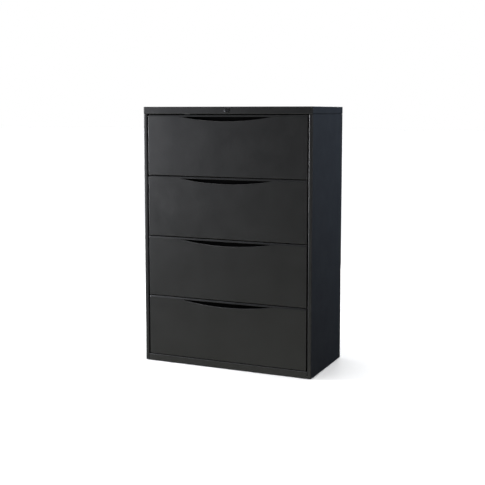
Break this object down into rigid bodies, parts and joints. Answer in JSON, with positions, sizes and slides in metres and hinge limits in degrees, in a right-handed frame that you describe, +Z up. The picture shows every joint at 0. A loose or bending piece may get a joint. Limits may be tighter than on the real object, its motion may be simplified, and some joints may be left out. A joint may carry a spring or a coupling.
{
  "type": "lateral file cabinet",
  "caption": "Tall black steel lateral file cabinet: full-width pull-out drawers on ball-bearing slides, crescent finger pulls, central lock, levelling glides.",
  "frame": {"origin": "on the floor under the middle of the bounding box", "axes": "+Z up, the drawers' fronts look along -Y, +X is the right-hand side seen from the front"},
  "size_m": [0.9144, 0.4592, 1.316],
  "materials": {
    "black_powder_coat": "fine-textured semi-gloss powder coat",
    "zinc_plated_steel": "bright zinc plating",
    "raw_steel": "dark mill scale",
    "black_plated_lock": "black nickel plate",
    "black_nylon": "matte moulded nylon"
  },
  "bodies": {
    "cabinet": {"top_cap": "black_powder_coat", "side_panel_left": "black_powder_coat", "side_panel_right": "black_powder_coat", "back_panel": "black_powder_coat", "base_rail": "black_powder_coat", "bottom_pan": "black_powder_coat", "counterweight": "raw_steel", "upright_front_left": "zinc_plated_steel", "upright_front_right": "zinc_plated_steel", "upright_rear_left": "zinc_plated_steel", "upright_rear_right": "zinc_plated_steel", "slide_outer_1_left": "zinc_plated_steel", "slide_outer_1_right": "zinc_plated_steel", "slide_outer_2_left": "zinc_plated_steel", "slide_outer_2_right": "zinc_plated_steel", "slide_outer_3_left": "zinc_plated_steel", "slide_outer_3_right": "zinc_plated_steel", "slide_outer_4_left": "zinc_plated_steel", "slide_outer_4_right": "zinc_plated_steel", "lock_housing": "black_plated_lock"},
    "drawer_1": {"drawer_front_1": "black_powder_coat", "pull_cup_1": "black_powder_coat", "drawer_tray_1": "black_powder_coat", "hang_rail_1": "zinc_plated_steel", "slide_inner_1_left": "zinc_plated_steel", "slide_inner_1_right": "zinc_plated_steel"},
    "slide_middle_1": {"slide_middle_1_left": "zinc_plated_steel", "slide_middle_1_right": "zinc_plated_steel"},
    "drawer_2": {"drawer_front_2": "black_powder_coat", "pull_cup_2": "black_powder_coat", "drawer_tray_2": "black_powder_coat", "hang_rail_2": "zinc_plated_steel", "slide_inner_2_left": "zinc_plated_steel", "slide_inner_2_right": "zinc_plated_steel"},
    "slide_middle_2": {"slide_middle_2_left": "zinc_plated_steel", "slide_middle_2_right": "zinc_plated_steel"},
    "drawer_3": {"drawer_front_3": "black_powder_coat", "pull_cup_3": "black_powder_coat", "drawer_tray_3": "black_powder_coat", "hang_rail_3": "zinc_plated_steel", "slide_inner_3_left": "zinc_plated_steel", "slide_inner_3_right": "zinc_plated_steel"},
    "slide_middle_3": {"slide_middle_3_left": "zinc_plated_steel", "slide_middle_3_right": "zinc_plated_steel"},
    "drawer_4": {"drawer_front_4": "black_powder_coat", "pull_cup_4": "black_powder_coat", "drawer_tray_4": "black_powder_coat", "hang_rail_4": "zinc_plated_steel", "slide_inner_4_left": "zinc_plated_steel", "slide_inner_4_right": "zinc_plated_steel"},
    "slide_middle_4": {"slide_middle_4_left": "zinc_plated_steel", "slide_middle_4_right": "zinc_plated_steel"},
    "glide_front_left": {"glide_front_left": "black_nylon"},
    "glide_front_right": {"glide_front_right": "black_nylon"},
    "glide_rear_left": {"glide_rear_left": "black_nylon"},
    "glide_rear_right": {"glide_rear_right": "black_nylon"},
    "lock_plug": {"lock_plug": "black_plated_lock", "lock_cam": "zinc_plated_steel"},
    "lock_link": {"lock_link": "zinc_plated_steel"},
    "lock_bar": {"lock_bar": "zinc_plated_steel"}
  },
  "joints": [
    {"name": "drawer_1_slide", "type": "slide", "parent": "cabinet", "child": "drawer_1", "axis": [0, -1, 0], "range_m": [0, 0.38]},
    {"name": "slide_middle_1_slide", "type": "slide", "parent": "cabinet", "child": "slide_middle_1", "axis": [0, -1, 0], "range_m": [0, 0.19]},
    {"name": "drawer_2_slide", "type": "slide", "parent": "cabinet", "child": "drawer_2", "axis": [0, -1, 0], "range_m": [0, 0.38]},
    {"name": "slide_middle_2_slide", "type": "slide", "parent": "cabinet", "child": "slide_middle_2", "axis": [0, -1, 0], "range_m": [0, 0.19]},
    {"name": "drawer_3_slide", "type": "slide", "parent": "cabinet", "child": "drawer_3", "axis": [0, -1, 0], "range_m": [0, 0.38]},
    {"name": "slide_middle_3_slide", "type": "slide", "parent": "cabinet", "child": "slide_middle_3", "axis": [0, -1, 0], "range_m": [0, 0.19]},
    {"name": "drawer_4_slide", "type": "slide", "parent": "cabinet", "child": "drawer_4", "axis": [0, -1, 0], "range_m": [0, 0.38]},
    {"name": "slide_middle_4_slide", "type": "slide", "parent": "cabinet", "child": "slide_middle_4", "axis": [0, -1, 0], "range_m": [0, 0.19]},
    {"name": "glide_front_left_turn", "type": "hinge", "parent": "cabinet", "child": "glide_front_left", "pos_m": [-0.3972, -0.1676, 0], "axis": [0, 0, 1], "continuous": true},
    {"name": "glide_front_right_turn", "type": "hinge", "parent": "cabinet", "child": "glide_front_right", "pos_m": [0.3972, -0.1676, 0], "axis": [0, 0, 1], "continuous": true},
    {"name": "glide_rear_left_turn", "type": "hinge", "parent": "cabinet", "child": "glide_rear_left", "pos_m": [-0.3972, 0.1696, 0], "axis": [0, 0, 1], "continuous": true},
    {"name": "glide_rear_right_turn", "type": "hinge", "parent": "cabinet", "child": "glide_rear_right", "pos_m": [0.3972, 0.1696, 0], "axis": [0, 0, 1], "continuous": true},
    {"name": "lock_plug_turn", "type": "hinge", "parent": "cabinet", "child": "lock_plug", "pos_m": [0.012, -0.2276, 1.29788], "axis": [0, 1, 0], "range_deg": [0, 90]},
    {"name": "lock_link_slide", "type": "slide", "parent": "cabinet", "child": "lock_link", "axis": [-1, 0, 0], "range_m": [0, 0.0156]},
    {"name": "lock_bar_slide", "type": "slide", "parent": "cabinet", "child": "lock_bar", "axis": [0, 0, -1], "range_m": [0, 0.01555]}
  ],
  "couplings": [
    {"joint": "slide_middle_1_slide", "follows": "drawer_1_slide", "ratio": 0.5},
    {"joint": "slide_middle_2_slide", "follows": "drawer_2_slide", "ratio": 0.5},
    {"joint": "slide_middle_3_slide", "follows": "drawer_3_slide", "ratio": 0.5},
    {"joint": "slide_middle_4_slide", "follows": "drawer_4_slide", "ratio": 0.5},
    {"joint": "lock_link_slide", "follows": "lock_bar_slide", "ratio": 1},
    {"joint": "lock_plug_turn", "follows": "lock_bar_slide", "rad_per_m": 100.97}
  ]
}
